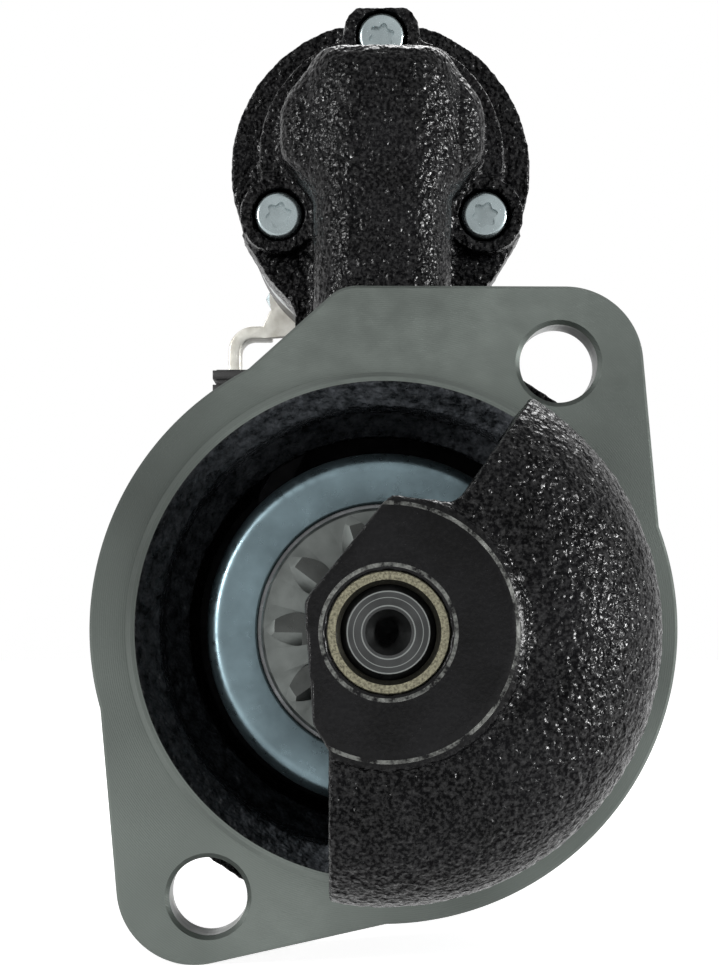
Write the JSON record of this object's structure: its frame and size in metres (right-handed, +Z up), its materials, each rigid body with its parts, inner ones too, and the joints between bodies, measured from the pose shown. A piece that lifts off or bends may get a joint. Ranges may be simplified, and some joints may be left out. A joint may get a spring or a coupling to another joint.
{
  "type": "starter motor",
  "caption": "Geared starter motor with a half-open cast nose, a two-hole flange, a pinion that slides out on an overrunning clutch, and a solenoid above that works its shift lever",
  "frame": {"origin": "shaft axis at the front face of the mounting flange, where the 85 mm pilot starts", "axes": "+Z up through the solenoid, shaft along Y with the nose towards -Y and the motor towards +Y, +X to the right as seen from the nose"},
  "size_m": [0.102, 0.273, 0.1657],
  "materials": {
    "drive_end_housing": "gloss black paint over sand-cast skin, flange face machined bare",
    "nose_bush": "sintered bronze",
    "lever_pin": "ground steel",
    "bearing_plate": "machined cast iron",
    "plate_bush": "sintered bronze",
    "ring_gear": "hardened steel, lightly oiled",
    "gear_shield": "bright zinc plate",
    "field_frame": "gloss black paint",
    "pole_shoes": "hardened steel, lightly oiled",
    "pole_screws": "ground steel",
    "field_coils": "copper",
    "rear_shield": "gloss black paint",
    "rear_bush": "sintered bronze",
    "shaft_cap": "bright zinc plate",
    "cap_screws": "bright zinc plate",
    "through_bolts": "bright zinc plate",
    "brush_plate": "bright zinc plate",
    "brush_springs": "ground steel",
    "solenoid_case": "bright zinc plate",
    "solenoid_core": "hardened steel, lightly oiled",
    "solenoid_bobbin": "sintered bronze",
    "solenoid_winding": "copper",
    "return_spring": "ground steel",
    "contact_spring": "ground steel",
    "switch_cap": "black phenolic moulding",
    "battery_stud": "copper",
    "motor_stud": "copper",
    "control_terminal": "bright zinc plate",
    "terminal_nuts": "bright zinc plate",
    "motor_lead": "tinned copper",
    "lead_grommet": "black rubber",
    "solenoid_screws": "bright zinc plate",
    "armature_shaft": "ground steel",
    "lamination_stack": "hardened steel, lightly oiled",
    "armature_winding": "copper",
    "commutator": "copper",
    "shaft_clip": "ground steel",
    "output_shaft": "hardened steel, lightly oiled",
    "pilot_bush": "sintered bronze",
    "planet_pins": "ground steel",
    "stop_ring": "hardened steel, lightly oiled",
    "planet_gear_1": "hardened steel, lightly oiled",
    "planet_gear_2": "hardened steel, lightly oiled",
    "planet_gear_3": "hardened steel, lightly oiled",
    "clutch_outer": "hardened steel, lightly oiled",
    "clutch_rollers": "ground steel",
    "roller_springs": "ground steel",
    "clutch_washer": "ground steel",
    "clutch_cap": "bright zinc plate",
    "meshing_spring": "hardened steel, lightly oiled",
    "sleeve_clip": "ground steel",
    "pinion": "hardened steel, lightly oiled",
    "guide_ring": "black phenolic moulding",
    "shift_lever": "ground steel",
    "plunger": "ground steel",
    "moving_contact": "copper",
    "brush_1": "copper-graphite brush",
    "brush_2": "copper-graphite brush",
    "brush_3": "copper-graphite brush",
    "brush_4": "copper-graphite brush"
  },
  "bodies": {
    "housing": {"drive_end_housing": "drive_end_housing", "nose_bush": "nose_bush", "lever_pin": "lever_pin", "bearing_plate": "bearing_plate", "plate_bush": "plate_bush", "ring_gear": "ring_gear", "gear_shield": "gear_shield", "field_frame": "field_frame", "pole_shoes": "pole_shoes", "pole_screws": "pole_screws", "field_coils": "field_coils", "rear_shield": "rear_shield", "rear_bush": "rear_bush", "shaft_cap": "shaft_cap", "cap_screws": "cap_screws", "through_bolts": "through_bolts", "brush_plate": "brush_plate", "brush_springs": "brush_springs", "solenoid_case": "solenoid_case", "solenoid_core": "solenoid_core", "solenoid_bobbin": "solenoid_bobbin", "solenoid_winding": "solenoid_winding", "return_spring": "return_spring", "contact_spring": "contact_spring", "switch_cap": "switch_cap", "battery_stud": "battery_stud", "motor_stud": "motor_stud", "control_terminal": "control_terminal", "terminal_nuts": "terminal_nuts", "motor_lead": "motor_lead", "lead_grommet": "lead_grommet", "solenoid_screws": "solenoid_screws"},
    "armature": {"armature_shaft": "armature_shaft", "lamination_stack": "lamination_stack", "armature_winding": "armature_winding", "commutator": "commutator", "shaft_clip": "shaft_clip"},
    "shaft": {"output_shaft": "output_shaft", "pilot_bush": "pilot_bush", "planet_pins": "planet_pins", "stop_ring": "stop_ring"},
    "planet_1": {"planet_gear_1": "planet_gear_1"},
    "planet_2": {"planet_gear_2": "planet_gear_2"},
    "planet_3": {"planet_gear_3": "planet_gear_3"},
    "drive": {"clutch_outer": "clutch_outer", "clutch_rollers": "clutch_rollers", "roller_springs": "roller_springs", "clutch_washer": "clutch_washer", "clutch_cap": "clutch_cap", "meshing_spring": "meshing_spring", "sleeve_clip": "sleeve_clip"},
    "pinion": {"pinion": "pinion"},
    "guide": {"guide_ring": "guide_ring"},
    "lever": {"shift_lever": "shift_lever"},
    "plunger": {"plunger": "plunger"},
    "contact": {"moving_contact": "moving_contact"},
    "brush_1": {"brush_1": "brush_1"},
    "brush_2": {"brush_2": "brush_2"},
    "brush_3": {"brush_3": "brush_3"},
    "brush_4": {"brush_4": "brush_4"}
  },
  "joints": [
    {"name": "armature_spin", "type": "hinge", "parent": "housing", "child": "armature", "pos_m": [0, 0.13, 0], "axis": [0, -1, 0], "continuous": true},
    {"name": "shaft_spin", "type": "hinge", "parent": "housing", "child": "shaft", "pos_m": [0, 0.06, 0], "axis": [0, -1, 0], "continuous": true},
    {"name": "planet_1_spin", "type": "hinge", "parent": "shaft", "child": "planet_1", "pos_m": [0, 0.077, 0.02063], "axis": [0, -1, 0], "continuous": true},
    {"name": "planet_2_spin", "type": "hinge", "parent": "shaft", "child": "planet_2", "pos_m": [-0.01786, 0.077, -0.01031], "axis": [0, -1, 0], "continuous": true},
    {"name": "planet_3_spin", "type": "hinge", "parent": "shaft", "child": "planet_3", "pos_m": [0.01786, 0.077, -0.01031], "axis": [0, -1, 0], "continuous": true},
    {"name": "drive_slide", "type": "slide", "parent": "shaft", "child": "drive", "axis": [0, -1, 0], "range_m": [0, 0.018], "stiffness_N_per_m": 600, "springref_m": -0.01},
    {"name": "pinion_spin", "type": "hinge", "parent": "drive", "child": "pinion", "pos_m": [0, 0, 0], "axis": [0, -1, 0], "continuous": true},
    {"name": "guide_slide", "type": "slide", "parent": "housing", "child": "guide", "axis": [0, -1, 0], "range_m": [0, 0.018]},
    {"name": "lever_swing", "type": "hinge", "parent": "housing", "child": "lever", "pos_m": [0, 0.029, 0.051], "axis": [-1, 0, 0], "range_deg": [0, 20.33]},
    {"name": "plunger_slide", "type": "slide", "parent": "housing", "child": "plunger", "axis": [0, 1, 0], "range_m": [0, 0.01147], "deforming": ["return_spring"]},
    {"name": "contact_slide", "type": "slide", "parent": "housing", "child": "contact", "axis": [0, 1, 0], "range_m": [0, 0.00295], "deforming": ["contact_spring"]},
    {"name": "brush_1_slide", "type": "slide", "parent": "housing", "child": "brush_1", "axis": [1, 0, 0], "range_m": [0, 0.005], "stiffness_N_per_m": 800, "springref_m": -0.008, "deforming": ["brush_springs"]},
    {"name": "brush_2_slide", "type": "slide", "parent": "housing", "child": "brush_2", "axis": [0, 0, 1], "range_m": [0, 0.005], "stiffness_N_per_m": 800, "springref_m": -0.008, "deforming": ["brush_springs"]},
    {"name": "brush_3_slide", "type": "slide", "parent": "housing", "child": "brush_3", "axis": [-1, 0, 0], "range_m": [0, 0.005], "stiffness_N_per_m": 800, "springref_m": -0.008, "deforming": ["brush_springs"]},
    {"name": "brush_4_slide", "type": "slide", "parent": "housing", "child": "brush_4", "axis": [0, 0, -1], "range_m": [0, 0.005], "stiffness_N_per_m": 800, "springref_m": -0.008, "deforming": ["brush_springs"]}
  ],
  "couplings": [
    {"joint": "shaft_spin", "follows": "armature_spin", "ratio": 0.25758},
    {"joint": "planet_1_spin", "follows": "armature_spin", "ratio": -0.78883},
    {"joint": "planet_2_spin", "follows": "armature_spin", "ratio": -0.78883},
    {"joint": "planet_3_spin", "follows": "armature_spin", "ratio": -0.78883},
    {"joint": "guide_slide", "follows": "drive_slide", "ratio": 1},
    {"joint": "lever_swing", "follows": "drive_slide", "rad_per_m": 19.711},
    {"joint": "plunger_slide", "follows": "drive_slide", "ratio": 0.63725},
    {"joint": "contact_slide", "follows": "drive_slide", "ratio": 0.16389}
  ]
}
